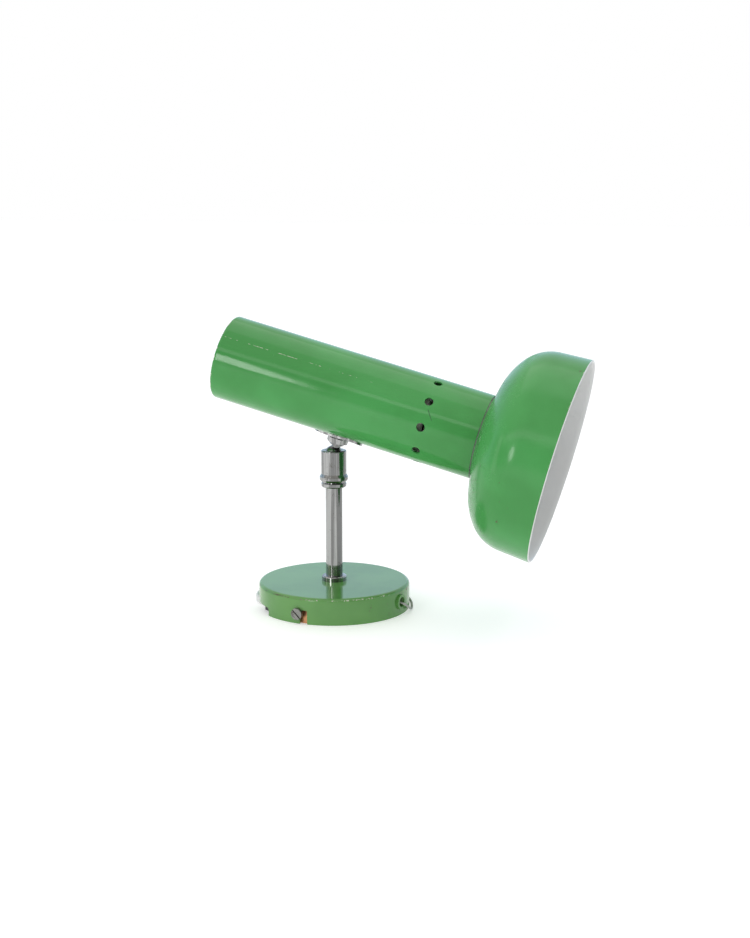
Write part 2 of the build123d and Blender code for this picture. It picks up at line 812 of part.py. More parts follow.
with BuildPart() as supply_cores:
    for side, passes in (
        (1, [(-15, -26, 3.6), (-12, -15, 4.5), (-18, -3, 5), (-20, 10, block_z)]),
        (-1, [(-19.5, -22.5, 1.4), (-18, -13, 2.4), (-22.5, -3, 4), (-24, 11, block_z)]),
    ):
        spread = Vector(0, 0, side * (core_r + 0.05))
        core_start = grip_middle - flex_dir * 0.1 + spread
        core_out = grip_middle - flex_dir * (grip_length / 2 + 3 * core_r) + spread
        arrives = {
            1: [(-13, 23, block_z), (-5, 31, block_z), pole_point(1, 30.5)],
            -1: [(-16, 26.5, block_z), (-4, 36, block_z), (8, 36.2, block_z), pole_point(-1, 31)],
        }[side]
        wire([core_start, core_out, *passes, *arrives, pole_point(side, 18)], core_r)

with BuildPart() as base_leads:
    for side in (-1, 1):
        apart = block_side * (side * (lead_r + 0.02))
        wire(
            [
                pole_point(side, block_start + 5),
                pole_point(side, block_start - 0.5),
                block_dir * 2.0 + apart * 1.4 + Vector(0, 0, block_z - 0.6),
                apart + Vector(0, 0, post_bottom + 1),
                apart + Vector(0, 0, cup_bottom + 4),
            ],
            lead_r,
        )

with BuildPart() as head_leads:
    for side in (-1, 1):
        shift = side * (lead_r + 0.02)
        corners = [
            (0, -ball_to_axis - ball_r + 0.6),
            (0, -ball_to_axis + stem_top + 3),
            (-8, -7),
            (-6.5, 0),
            (holder_rear + holder_floor / 2 - 0.3, 0),
        ]
        wire([HEAD_SECTION.from_local_coords((x, y, shift)) for x, y in corners], lead_r)

# ---------------------------------------------------------------- pull switch
switch_plane = facing_out(eyelet_angle, switch_start, eyelet_z)
switch_rise = cap_ceiling - eyelet_z
cavity_r = 2.6
guide_t = 3.0

with BuildPart() as switch_body:
    with BuildSketch(switch_plane) as section:
        with Locations((0, switch_rise)):
            Rectangle(switch_w, switch_h, align=(Align.CENTER, Align.MAX))
        fillet(section.vertices().group_by(Axis.Y)[0], 1.5)
    extrude(amount=switch_length)
    with BuildSketch(switch_plane.offset(2)):
        Circle(cavity_r)
    extrude(amount=switch_length - 2 - guide_t, mode=Mode.SUBTRACT)
    with BuildSketch(switch_plane.offset(2)):
        Circle(plunger_r + running)
    extrude(amount=switch_length, mode=Mode.SUBTRACT)

with BuildPart() as switch_plunger:
    collar_at = switch_length - guide_t - plunger_travel - 1.7
    with BuildSketch(switch_plane.offset(collar_at)):
        Circle(plunger_r)
    extrude(amount=plunger_end - switch_start - collar_at)
    with BuildSketch(switch_plane.offset(collar_at)):
        Circle(cavity_r - running)
    extrude(amount=1.5)
    with BuildSketch(switch_plane.offset(plunger_end - switch_start - ferrule_h)):
        Circle(ferrule_r)
    extrude(amount=ferrule_h)

# ---------------------------------------------------------------- free cords
string_route = [
    polar(eyelet_angle, plunger_end + 0.05, eyelet_z),
    polar(eyelet_angle, base_r + 2.6, eyelet_z - 0.4),
    polar(-7.5, base_r + 3.6, 3.0),
    polar(2.0, base_r + 2.4, string_r),
    polar(12.0, base_r + 1.7, string_r),
    polar(24.0, base_r + 1.7, string_r),
    polar(36.0, base_r + 2.3, string_r),
    polar(47.0, base_r + 3.6, string_r),
    polar(57.0, base_r + 5.2, string_r),
    polar(66.0, base_r + 6.8, string_r + 0.8),
    polar(75.0, base_r + 8.2, knob_r),
]
with BuildPart() as pull_string:
    wire(string_route, string_r)

string_last = string_route[-1]
string_run = (string_last - string_route[-2]).normalized()
level_run = Vector(string_run.X, string_run.Y, 0).normalized()
with BuildPart() as pull_knob:
    knob_plane = Plane(origin=string_last + level_run * 0.1, z_dir=level_run)
    with BuildSketch(knob_plane):
        Circle(1.6)
    with BuildSketch(knob_plane.offset(0.75 * knob_h)):
        Circle(knob_r)
    loft()
    with BuildSketch(knob_plane.offset(0.75 * knob_h)):
        Circle(knob_r)
    extrude(amount=0.25 * knob_h)
    fillet(pull_knob.faces().sort_by(Axis(string_last, level_run))[-1].edges(), 1.4)

flex_route = [
    grip_middle,
    polar(-167.0, base_r + 0.7, flex_z),
    polar(-179.6, base_r + 4.1, flex_z),
    polar(167.7, base_r + 5.2, flex_z),
    polar(155.0, base_r + 6.0, flex_z),
    polar(143.0, base_r + 6.8, flex_z),
    polar(131.0, base_r + 7.8, flex_z),
    polar(119.0, base_r + 9.0, flex_z),
    polar(107.5, base_r + 10.8, flex_z),
    polar(97.0, base_r + 13.0, flex_z),
]
with BuildPart() as supply_flex:
    with BuildLine() as path:
        FilletPolyline(*flex_route, radius=largest_radii(flex_route))
    first_run = (flex_route[1] - flex_route[0]).normalized()
    start = Plane(origin=flex_route[0], x_dir=(0, 0, 1), z_dir=first_run)
    with BuildSketch(start):
        RectangleRounded(flex_w, flex_t, 0.9)
    sweep(path=path.line)

for name, route in (("string", string_route), ("flex", flex_route)):
    runs = [after - before for before, after in zip(route, route[1:])]
    print(name, "route", [tuple(round(value, 3) for value in point) for point in route])
    print(name, "length", round(sum(run.length for run in runs), 1))
    print(name, "radii", [round(radius, 1) for radius in largest_radii(route)])

# ---------------------------------------------------------------- export
pieces = {
    "base_cap": base_cap,
    "wall_plate": wall_plate,
    "cap_screws": cap_screws,
    "post_tube": post_tube,
    "foot_collar": foot_collar,
    "post_washer": post_washer,
    "post_nut": post_nut,
    "swivel_seat": swivel_seat,
    "seat_clip": seat_clip,
    "ball_housing": ball_housing,
    "spring_washer": spring_washer,
    "friction_cup": friction_cup,
    "ball_stem": ball_stem,
    "stem_nut": stem_nut,
    "stem_washer": stem_washer,
    "stem_top_nut": stem_top_nut,
    "lamp_tube": lamp_tube,
    "saddle_plate": saddle_plate,
    "saddle_rivet": saddle_rivet,
    "holder_bracket": holder_bracket,
    "holder_nipple": holder_nipple,
    "nipple_nut": nipple_nut,
    "lampholder_body": lampholder_body,
    "lampholder_shell": lampholder_shell,
    "lampholder_contact": lampholder_contact,
    "bulb_glass": bulb_glass,
    "bulb_cap": bulb_cap,
    "bulb_insulator": bulb_insulator,
    "bulb_contact": bulb_contact,
    "bulb_stem": bulb_stem,
    "bulb_filament": bulb_filament,
    "neck_ring": neck_ring,
    "shade": shade,
    "terminal_block": terminal_block,
    "terminal_inserts": terminal_inserts,
    "terminal_screws": terminal_screws,
    "block_screw": block_screw,
    "flex_grip": flex_grip,
    "supply_cores": supply_cores,
    "base_leads": base_leads,
    "head_leads": head_leads,
    "switch_body": switch_body,
    "switch_plunger": switch_plunger,
    "pull_string": pull_string,
    "pull_knob": pull_knob,
    "supply_flex": supply_flex,
}
for name, piece in pieces.items():
    piece.part.label = name
    export_step(piece.part, f"parts/{name}.step")
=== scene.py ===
import json
import math
import bpy
from mathutils import Euler, Matrix, Vector


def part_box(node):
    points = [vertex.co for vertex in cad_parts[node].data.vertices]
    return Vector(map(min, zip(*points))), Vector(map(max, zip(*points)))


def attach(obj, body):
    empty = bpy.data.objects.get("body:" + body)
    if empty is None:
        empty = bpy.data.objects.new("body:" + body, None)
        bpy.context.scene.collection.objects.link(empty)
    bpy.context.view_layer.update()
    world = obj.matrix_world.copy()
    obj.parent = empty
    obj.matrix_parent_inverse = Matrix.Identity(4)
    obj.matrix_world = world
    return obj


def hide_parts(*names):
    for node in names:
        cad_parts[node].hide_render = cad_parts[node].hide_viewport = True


# A green spot lamp on its round wall base. Metres, in the lamp's own frame: the origin is
# the middle of the base on the wall side, +Z runs up the post and the head points to +X.

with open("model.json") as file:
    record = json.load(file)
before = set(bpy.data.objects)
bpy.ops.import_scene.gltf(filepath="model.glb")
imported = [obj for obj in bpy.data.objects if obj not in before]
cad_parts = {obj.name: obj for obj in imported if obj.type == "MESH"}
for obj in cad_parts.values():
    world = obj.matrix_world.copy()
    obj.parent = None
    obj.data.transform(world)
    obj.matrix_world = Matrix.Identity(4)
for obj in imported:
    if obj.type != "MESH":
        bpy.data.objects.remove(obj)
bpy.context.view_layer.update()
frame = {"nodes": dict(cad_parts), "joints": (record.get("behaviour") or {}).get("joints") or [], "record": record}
MM = 0.001

# ---------------------------------------------------------------- places from the frame
joints = {joint["name"]: joint for joint in frame["joints"]}
ball = Vector(joints["head_tilt"]["pos_m"])
stem_dir = Vector(joints["head_turn"]["axis"]).normalized()
head_dir = Vector((0, 1, 0)).cross(stem_dir)
ball_to_axis = 37.12 * MM
tube_centre = ball + stem_dir * ball_to_axis
base_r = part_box("base_cap")[1].y  # the eyelet stands out past it in x
base_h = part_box("base_cap")[1].z

# The head's own frame has the tube's axis as z, its top as y and the world's y as x
head_frame = Matrix.Translation(tube_centre) @ Matrix((
    (0, stem_dir.x, head_dir.x),
    (1, stem_dir.y, head_dir.y),
    (0, stem_dir.z, head_dir.z),
)).to_4x4()


# ---------------------------------------------------------------- sizes of the new pieces
# The shade's outline, as places along the head's axis and out from it
SHADE_WALL = 1.2 * MM
RIM = Vector((129.9, 60.3)) * MM
SHOULDER = Vector((111.4, 59.2)) * MM
CROWN = Vector((94.0, 50.5)) * MM
ROOT = Vector((85.0, 26.2)) * MM
NECK_R = 25.0 * MM
NECK_BACK = 83.4 * MM
NECK_WALL = 0.97 * MM
NECK_BEVEL = 0.15 * MM
TUBE_REAR = -78.2 * MM

MERGE_AT = 0.002 * MM

FLEX_W = 4.4 * MM
FLEX_T = 2.2 * MM


# ---------------------------------------------------------------- node helpers
def feed(tree, node, **values):
    """Sets a node's sockets to numbers, or links them to another node's output."""
    for name, value in values.items():
        socket = node.inputs[name.replace("_", " ")]
        if isinstance(value, bpy.types.NodeSocket):
            tree.links.new(value, socket)
        else:
            socket.default_value = value


def add(tree, kind, **values):
    """A new node. A value is a socket's number, or a link from another node's output."""
    node = tree.nodes.new(kind)
    for name, value in values.items():
        if hasattr(node, name):
            setattr(node, name, value)
            continue
        socket = node.inputs[int(name[1:]) if name[0] == "_" else name.replace("_", " ")]
        if isinstance(value, bpy.types.NodeSocket):
            tree.links.new(value, socket)
        else:
            socket.default_value = value
    return node


def maths(tree, operation, first, second=0.0, clamp=False):
    """The output of a Math node."""
    node = add(tree, "ShaderNodeMath", operation=operation, use_clamp=clamp, _0=first, _1=second)
    return node.outputs[0]


def ramp(tree, value, low, high):
    """0 below low, 1 above high, smooth between. Low may be above high, which turns it round."""
    node = add(tree, "ShaderNodeMapRange", interpolation_type="SMOOTHSTEP", Value=value)
    if low < high:
        node.inputs["From Min"].default_value = low
        node.inputs["From Max"].default_value = high
        return node.outputs[0]
    node.inputs["From Min"].default_value = high
    node.inputs["From Max"].default_value = low
    return maths(tree, "SUBTRACT", 1.0, node.outputs[0])


def plus(tree, first, second):
    """Two values added."""
    return maths(tree, "ADD", first, second)


def less(tree, first, second, clamp=False):
    """The first value less the second."""
    return maths(tree, "SUBTRACT", first, second, clamp=clamp)


def times(tree, first, second, clamp=False):
    """Two masks or values multiplied."""
    return maths(tree, "MULTIPLY", first, second, clamp=clamp)


def noise(tree, vector, scale, detail, roughness=0.5):
    """The height of a noise pattern, about 0.5 in the middle."""
    node = add(tree, "ShaderNodeTexNoise", Vector=vector, Scale=scale)
    feed(tree, node, Detail=detail, Roughness=roughness)
    return node.outputs["Fac"]


def long_side(tree, first, second):
    """The long side of a right-angled triangle."""
    squares = plus(tree, times(tree, first, first), times(tree, second, second))
    return maths(tree, "SQRT", squares)


def mix(tree, factor, first, second):
    """A colour between two, by factor."""
    node = tree.nodes.new("ShaderNodeMix")
    node.data_type = "RGBA"
    for index, value in ((0, factor), (6, first), (7, second)):
        if isinstance(value, bpy.types.NodeSocket):
            tree.links.new(value, node.inputs[index])
        else:
            node.inputs[index].default_value = value
    return node.outputs[2]


def new_group(name, inputs, outputs):
    """An empty node group with its input and output nodes."""
    group = bpy.data.node_groups.new(name, "ShaderNodeTree")
    for socket, kind, value in inputs:
        made = group.interface.new_socket(socket, in_out="INPUT", socket_type=kind)
        if value is not None:
            made.default_value = value
    for socket, kind in outputs:
        group.interface.new_socket(socket, in_out="OUTPUT", socket_type=kind)
    return group, group.nodes.new("NodeGroupInput"), group.nodes.new("NodeGroupOutput")


FLOAT, VECTOR = "NodeSocketFloat", "NodeSocketVector"


def make_ring_band():
    """1 on a circle round the pattern's z axis, 0 further from it than Width."""
    tree, given, out = new_group(
        "ring_band",
        [
            ("Vector", VECTOR, None),
            ("Radius", FLOAT, 0.04),
            ("Height", FLOAT, 0.0),
            ("Width", FLOAT, 0.001),
        ],
        [("Mask", FLOAT)],
    )
    parts = add(tree, "ShaderNodeSeparateXYZ", Vector=given.outputs["Vector"])
    across = long_side(tree, parts.outputs["X"], parts.outputs["Y"])
    off_radius = less(tree, across, given.outputs["Radius"])
    off_height = less(tree, parts.outputs["Z"], given.outputs["Height"])
    off = long_side(tree, off_radius, off_height)
    near = less(tree, 1.0, maths(tree, "DIVIDE", off, given.outputs["Width"]), clamp=True)
    tree.links.new(near, out.inputs["Mask"])
    return tree


def make_flecks():
    """Small sharp-edged spots, thinned out by a slower noise. Amount from 0 to 1 lets more through."""
    tree, given, out = new_group(
        "flecks",
        [("Vector", VECTOR, None), ("Scale", FLOAT, 300.0), ("Amount", FLOAT, 0.3)],
        [("Mask", FLOAT)],
    )
    fine = noise(tree, given.outputs["Vector"], given.outputs["Scale"], 4.0, 0.65)
    broad = noise(tree, given.outputs["Vector"], times(tree, given.outputs["Scale"], 0.16), 1.0)
    both = times(tree, fine, plus(tree, broad, 0.5))
    level = less(tree, 0.82, times(tree, given.outputs["Amount"], 0.4))
    mask = times(tree, less(tree, both, level), 22.0, clamp=True)
    tree.links.new(mask, out.inputs["Mask"])
    return tree


def make_skin():
    """The slight waviness of sprayed enamel, as a height, with a smudge mask for its gloss."""
    tree, given, out = new_group(
        "enamel_skin",
        [("Vector", VECTOR, None), ("Peel Scale", FLOAT, 420.0)],
        [("Height", FLOAT), ("Smudge", FLOAT)],
    )
    peel = noise(tree, given.outputs["Vector"], given.outputs["Peel Scale"], 1.5, 0.4)
    wave = noise(tree, given.outputs["Vector"], 70.0, 1.0)
    height = plus(tree, times(tree, peel, 0.35), wave)
    smudge = noise(tree, given.outputs["Vector"], 38.0, 5.0, 0.7)
    tree.links.new(height, out.inputs["Height"])
    tree.links.new(ramp(tree, smudge, 0.42, 0.75), out.inputs["Smudge"])
    return tree


def make_hairlines():
    """Fine straight scratches along the pattern's z, as a mask."""
    tree, given, out = new_group(
        "hairlines",
        [("Vector", VECTOR, None), ("Scale", FLOAT, 900.0), ("Amount", FLOAT, 0.4)],
        [("Mask", FLOAT)],
    )
    turned = add(tree, "ShaderNodeMapping", Vector=given.outputs["Vector"], Scale=(1.0, 1.0, 0.03))
    lines = noise(tree, turned.outputs["Vector"], given.outputs["Scale"], 3.0, 0.7)
    level = less(tree, 0.8, times(tree, given.outputs["Amount"], 0.4))
    mask = times(tree, less(tree, lines, level), 8.0, clamp=True)
    tree.links.new(mask, out.inputs["Mask"])
    return tree


ring_band = make_ring_band()
flecks = make_flecks()
enamel_skin = make_skin()
hairlines = make_hairlines()


def place(tree, group, **values):
    """A node group placed in a material."""
    node = tree.nodes.new("ShaderNodeGroup")
    node.node_tree = group
    feed(tree, node, **values)
    return node.outputs


def spots(tree, coords, scale, amount):
    """The mask of small sharp-edged spots."""
    return place(tree, flecks, Vector=coords, Scale=scale, Amount=amount)["Mask"]


def round_edge(tree, coords, radius, height, width):
    """The mask of a turned piece's edge."""
    return place(tree, ring_band, Vector=coords, Radius=radius, Height=height, Width=width)["Mask"]


def new_material(name, turned_to=None):
    """A material with its tree, its shader and the coordinates of its pattern."""
    material = bpy.data.materials.new(name)
    material.use_nodes = True
    tree = material.node_tree
    shader = tree.nodes["Principled BSDF"]
    coords = add(tree, "ShaderNodeTexCoord").outputs["Object"]
    if turned_to is not None:
        place_of, turn_of, _ = turned_to.decompose()
        node = add(tree, "ShaderNodeMapping", vector_type="TEXTURE", Vector=coords)
        node.inputs["Location"].default_value = place_of
        node.inputs["Rotation"].default_value = turn_of.to_euler()
        coords = node.outputs["Vector"]
    return material, tree, shader, coords


def bump(tree, shader, height, distance, strength=1.0):
    """A height pattern on the surface, that many metres deep."""
    node = add(tree, "ShaderNodeBump", Strength=strength, Distance=distance, Height=height)
    tree.links.new(node.outputs["Normal"], shader.inputs["Normal"])


def grey(level):
    """A colour without a hue."""
    return (level, level, level, 1.0)


# ---------------------------------------------------------------- enamel
GREEN = (0.066, 0.315, 0.082, 1.0)
GREEN_DEEP = (0.052, 0.262, 0.062, 1.0)
BASE_GREEN = (0.118, 0.300, 0.078, 1.0)
BASE_GREEN_DEEP = (0.088, 0.250, 0.060, 1.0)
PRIMER = (0.62, 0.60, 0.52, 1.0)
RUST = (0.070, 0.045, 0.022, 1.0)
CRACK = (0.02, 0.06, 0.03, 1.0)
ENAMEL_DEPTH = 0.02 * MM
STANDARD_IOR = 1.52
WORN_GLOSS_IOR = 1.38


def enamel(name, turned_to, green, deep, gloss_ior=WORN_GLOSS_IOR):
    """Gloss enamel with its skin, faint smudges and small dust nibs. More is painted on it later."""
    material, tree, shader, coords = new_material(name, turned_to)
    skin = place(tree, enamel_skin, Vector=coords)
    tone = noise(tree, coords, 26.0, 3.0)
    colour = mix(tree, ramp(tree, tone, 0.35, 0.7), green, deep)
    nibs = spots(tree, coords, 900.0, 0.05)
    colour = mix(tree, times(tree, nibs, 0.5), colour, GREEN_DEEP)
    roughness = plus(tree, 0.085, times(tree, skin["Smudge"], 0.10))
    feed(tree, shader, IOR=gloss_ior)
    return material, tree, shader, coords, colour, roughness, skin["Height"]


def finish_enamel(tree, shader, colour, roughness, height):
    """The painted layers joined to the shader."""
    feed(tree, shader, Base_Color=colour, Roughness=roughness)
    bump(tree, shader, height, ENAMEL_DEPTH)


def chip_layer(tree, colour, roughness, height, mask, chip_colour, sunk=2.0):
    """Paint gone where the mask is 1: another colour, matt, and lower."""
    colour = mix(tree, mask, colour, chip_colour)
    roughness = plus(tree, roughness, times(tree, mask, 0.45))
    height = less(tree, height, times(tree, mask, sunk))
    return colour, roughness, height


def make_base_enamel():
    """The base's green: chipped along its front edge, rubbed at its foot, a few dots on its side."""
    material, tree, shader, coords, colour, roughness, height = enamel(
        "green_enamel_base", None, BASE_GREEN, BASE_GREEN_DEEP, STANDARD_IOR
    )
    parts = add(tree, "ShaderNodeSeparateXYZ", Vector=coords).outputs
    # The ring lies just outside the edge, so only the edge itself is chipped
    edge = round_edge(tree, coords, base_r + 0.33 * MM, base_h - 0.6 * MM, 1.2 * MM)
    front = ramp(tree, parts["Y"], -8 * MM, -22 * MM)
    chips = spots(tree, coords, 900.0, 0.74)
    worn = times(tree, times(tree, edge, chips), front, clamp=True)
    worn = ramp(tree, worn, 0.18, 0.4)
    to_right = ramp(tree, parts["X"], -12 * MM, 10 * MM)
    chip = mix(tree, to_right, RUST, PRIMER)
    colour, roughness, height = chip_layer(tree, colour, roughness, height, worn, chip)
    foot = round_edge(tree, coords, base_r + 0.83 * MM, 0.0, 0.9 * MM)
    rubbed = ramp(tree, times(tree, foot, chips), 0.3, 0.6)
    colour, roughness, height = chip_layer(tree, colour, roughness, height, rubbed, RUST, 1.0)
    dots = spots(tree, coords, 260.0, 0.16)
    dots = times(tree, dots, ramp(tree, parts["Z"], base_h - 1 * MM, base_h - 2 * MM))
    colour, roughness, height = chip_layer(tree, colour, roughness, height, dots, RUST, 0.6)
    finish_enamel(tree, shader, colour, roughness, height)
    return material


def make_tube_enamel():
    """The tube's green, with a long broken pale line, a hairline crack and a rubbed rear edge."""
    material, tree, shader, coords, colour, roughness, height = enamel(
        "green_enamel_tube", head_frame, GREEN, GREEN_DEEP
    )
    parts = add(tree, "ShaderNodeSeparateXYZ", Vector=coords).outputs
    # Angle from the top of the tube towards the world's -Y side
    angle = maths(tree, "ARCTAN2", times(tree, parts["X"], -1.0), parts["Y"])
    # A long pale line, broken up, from the rear end forwards, paler, rougher and a little lower than the green
    line = maths(tree, "ABSOLUTE", less(tree, angle, math.radians(52)))
    thin = ramp(tree, line, 0.010, 0.003)
    length = ramp(tree, parts["Z"], 40 * MM, -20 * MM)
    broken = spots(tree, coords, 520.0, 0.75)
    pale_line = times(tree, times(tree, thin, length), broken, clamp=True)
    colour, roughness, height = chip_layer(
        tree, colour, roughness, height, times(tree, pale_line, 0.7), PRIMER, 0.6
    )
    # A short hairline crack between two vent holes, which swings round the tube as it goes forwards
    crack_start, crack_end = 52.0 * MM, 55.2 * MM
    crack_angle, crack_swing = math.radians(66), 55.0
    swing = times(tree, less(tree, parts["Z"], crack_start), crack_swing)
    off_crack = maths(tree, "ABSOLUTE", less(tree, angle, plus(tree, crack_angle, swing)))
    after_start = ramp(tree, parts["Z"], crack_start - 0.6 * MM, crack_start)
    before_end = ramp(tree, parts["Z"], crack_end + 0.8 * MM, crack_end)
    crack = times(tree, ramp(tree, off_crack, 0.018, 0.006), after_start)
    crack = times(tree, crack, before_end)
    colour, roughness, height = chip_layer(tree, colour, roughness, height, crack, CRACK, 1.5)
    # Rear edge rubbed down to the primer here and there
    rear = round_edge(tree, coords, NECK_R - 0.4 * MM, TUBE_REAR + 0.4 * MM, 0.8 * MM)
    rubbed = ramp(tree, times(tree, rear, broken), 0.3, 0.6)
    colour, roughness, height = chip_layer(tree, colour, roughness, height, rubbed, PRIMER, 1.0)
    dots = spots(tree, coords, 240.0, 0.10)
    colour, roughness, height = chip_layer(tree, colour, roughness, height, dots, GREEN_DEEP, 0.4)
    finish_enamel(tree, shader, colour, roughness, height)
    return material


def make_shade_enamel():
    """The shade's green, duller than the tube's, with a few rust dots and a rubbed rim."""
    material, tree, shader, coords, colour, roughness, height = enamel(
        "green_enamel_shade", head_frame, GREEN, GREEN_DEEP
    )
    parts = add(tree, "ShaderNodeSeparateXYZ", Vector=coords).outputs
    dots = spots(tree, coords, 210.0, 0.20)
    colour, roughness, height = chip_layer(tree, colour, roughness, height, dots, RUST, 0.6)
    # Dull scuffs behind the shoulder
    patch = noise(tree, coords, 60.0, 6.0, 0.8)
    behind_shoulder = ramp(tree, parts["Z"], 108 * MM, 96 * MM)
    scuffed = times(tree, ramp(tree, patch, 0.5, 0.62), behind_shoulder)
    roughness = plus(tree, roughness, times(tree, scuffed, 0.22))
    roughness = plus(tree, roughness, 0.09)
    rim = round_edge(tree, coords, RIM.y - 0.5 * MM, RIM.x - 0.2 * MM, 0.9 * MM)
    broken = spots(tree, coords, 420.0, 0.5)
    rubbed = ramp(tree, times(tree, rim, broken), 0.3, 0.6)
    colour, roughness, height = chip_layer(tree, colour, roughness, height, rubbed, PRIMER, 1.0)
    finish_enamel(tree, shader, colour, roughness, height)
    return material


def make_white_enamel():
    """Matt white inside the shade, with dust on it."""
    material, tree, shader, coords, colour, roughness, height = enamel(
        "white_enamel_inside", head_frame, (0.78, 0.78, 0.78, 1), (0.73, 0.73, 0.72, 1)
    )
    dust = noise(tree, coords, 90.0, 6.0, 0.75)
    dust_colour = (0.50, 0.48, 0.44, 1)
    colour = mix(tree, times(tree, dust, 0.12), colour, dust_colour)
    roughness = plus(tree, roughness, 0.3)
    finish_enamel(tree, shader, colour, roughness, height)
    return material


# ---------------------------------------------------------------- metals and the rest
DULL_METAL = (0.30, 0.29, 0.27, 1.0)


def metal(name, colour, roughness, worn, dull=DULL_METAL, streaks=0.2):
    """Bare or plated metal with hairline scratches, dull spots and streaks along its length."""
    material, tree, shader, coords = new_material(name)
    lines = place(tree, hairlines, Vector=coords, Scale=1100.0, Amount=0.35)["Mask"]
    pits = spots(tree, coords, 1400.0, worn)
    haze = noise(tree, coords, 160.0, 4.0, 0.7)
    drawn = add(tree, "ShaderNodeMapping", Vector=coords, Scale=(1.0, 1.0, 0.02)).outputs["Vector"]
    bands = noise(tree, drawn, 330.0, 4.0, 0.6)
    streaky = times(tree, ramp(tree, bands, 0.44, 0.58), streaks)
    darker = tuple(0.3 * level for level in colour[:3]) + (1.0,)
    tint = mix(tree, streaky, colour, darker)
    tint = mix(tree, times(tree, pits, 0.6), tint, dull)
    rough = plus(tree, roughness, times(tree, lines, 0.12))
    rough = plus(tree, rough, times(tree, pits, 0.3))
    hazy = ramp(tree, haze, 0.4, 0.8)
    rough = plus(tree, rough, times(tree, hazy, 0.12))
    feed(tree, shader, Base_Color=tint, Metallic=1.0, Roughness=rough)
    height = less(tree, times(tree, haze, 0.3), lines)
    bump(tree, shader, height, 0.006 * MM)
    return material


def plastic(name, colour, dirt, roughness, grain=1500.0):
    """Moulded plastic or rubbery insulation with fine grain and grime."""
    material, tree, shader, coords = new_material(name)
    fine = noise(tree, coords, grain, 3.0)
    broad = noise(tree, coords, 110.0, 5.0, 0.7)
    grime = ramp(tree, broad, 0.45, 0.8)
    feed(
        tree,
        shader,
        Base_Color=mix(tree, times(tree, grime, 0.5), colour, dirt),
        Roughness=plus(tree, roughness, times(tree, grime, 0.2)),
    )
    bump(tree, shader, fine, 0.02 * MM, 0.5)
    return material


def make_bulb_glass():
    """Soda glass, clear, for the bulb's front."""
    material, tree, shader, coords = new_material("bulb_clear_glass", head_frame)
    wave = noise(tree, coords, 120.0, 2.0)
    feed(
        tree,
        shader,
        Base_Color=(0.95, 0.96, 0.95, 1),
        Roughness=plus(tree, 0.12, times(tree, wave, 0.12)),
        IOR=1.5,
        Transmission_Weight=1.0,
    )
    bump(tree, shader, wave, 0.05 * MM, 0.4)
    return material


base_enamel = make_base_enamel()
tube_enamel = make_tube_enamel()
shade_enamel = make_shade_enamel()
white_enamel = make_white_enamel()
chrome = metal("chrome_plate", (0.38, 0.38, 0.375, 1), 0.07, 0.42, (0.12, 0.115, 0.10, 1), 0.75)
zinc = metal("zinc_plated_steel", (0.42, 0.42, 0.40, 1), 0.28, 0.35)
screw_steel = metal("screw_steel", (0.27, 0.27, 0.255, 1), 0.27, 0.6, (0.08, 0.07, 0.055, 1))
copper = metal("copper_toned_steel", (0.66, 0.33, 0.17, 1), 0.34, 0.4, (0.30, 0.13, 0.06, 1))
brass = metal("brass", (0.72, 0.52, 0.24, 1), 0.26, 0.35, (0.28, 0.18, 0.08, 1))
# Painted shade: this aluminium is made nearly black so that the neck ring shows as the dark gap between the tube
# and the shade
bare_aluminium = metal("bare_aluminium", (0.16, 0.16, 0.155, 1), 0.35, 0.5, (0.03, 0.03, 0.03, 1))
tungsten = metal("tungsten", (0.22, 0.22, 0.23, 1), 0.4, 0.2)
porcelain = plastic("porcelain", (0.74, 0.72, 0.66, 1), (0.45, 0.40, 0.30, 1), 0.18, 700.0)
thermoset = plastic("beige_thermoset", (0.62, 0.53, 0.36, 1), (0.35, 0.28, 0.17, 1), 0.4)
black_plastic = plastic("black_plastic", (0.018, 0.018, 0.018, 1), (0.06, 0.055, 0.05, 1), 0.4)
insulation = plastic("lead_insulation", (0.70, 0.69, 0.65, 1), (0.48, 0.44, 0.36, 1), 0.4)
flex_pvc = plastic("white_flex", (0.72, 0.72, 0.71, 1), (0.5, 0.48, 0.44, 1), 0.35)
knob_plastic = plastic("white_plastic", (0.74, 0.72, 0.66, 1), (0.5, 0.45, 0.36, 1), 0.25, 900.0)
string_fibre = plastic("string_fibre", (0.42, 0.42, 0.40, 1), (0.28, 0.27, 0.24, 1), 0.7, 3500.0)
black_glass = plastic("black_glass", (0.01, 0.01, 0.012, 1), (0.03, 0.03, 0.03, 1), 0.1)
bulb_clear = make_bulb_glass()

FINISHES = {
    "green_enamel_on_steel": base_enamel,
    "green_enamel_on_aluminium": tube_enamel,
    "copper_toned_steel": copper,
    "zinc_steel": zinc,
    "chrome": chrome,
    "bare_aluminium": bare_aluminium,
    "brass": brass,
    "porcelain": porcelain,
    "bulb_glass": bulb_clear,
    "bulb_cap_metal": brass,
    "black_glass": black_glass,
    "tungsten": tungsten,
    "beige_thermoset": thermoset,
    "black_plastic": black_plastic,
    "lead_insulation": insulation,
    "white_flex": flex_pvc,
    "white_plastic": knob_plastic,
    "string": string_fibre,
}
for part in frame["record"]["subparts"]:
    node = frame["nodes"][part["node"]]
    for slot in node.material_slots:
        slot.material = FINISHES[part["material_slot"]]
for slot in frame["nodes"]["cap_screws"].material_slots:
    slot.material = screw_steel


# ---------------------------------------------------------------- modelling helpers
def clear_selection():
    """Leaves edit mode and selects nothing."""
    if bpy.context.object is not None and bpy.context.object.mode != "OBJECT":
        bpy.ops.object.mode_set(mode="OBJECT")
    bpy.ops.object.select_all(action="DESELECT")


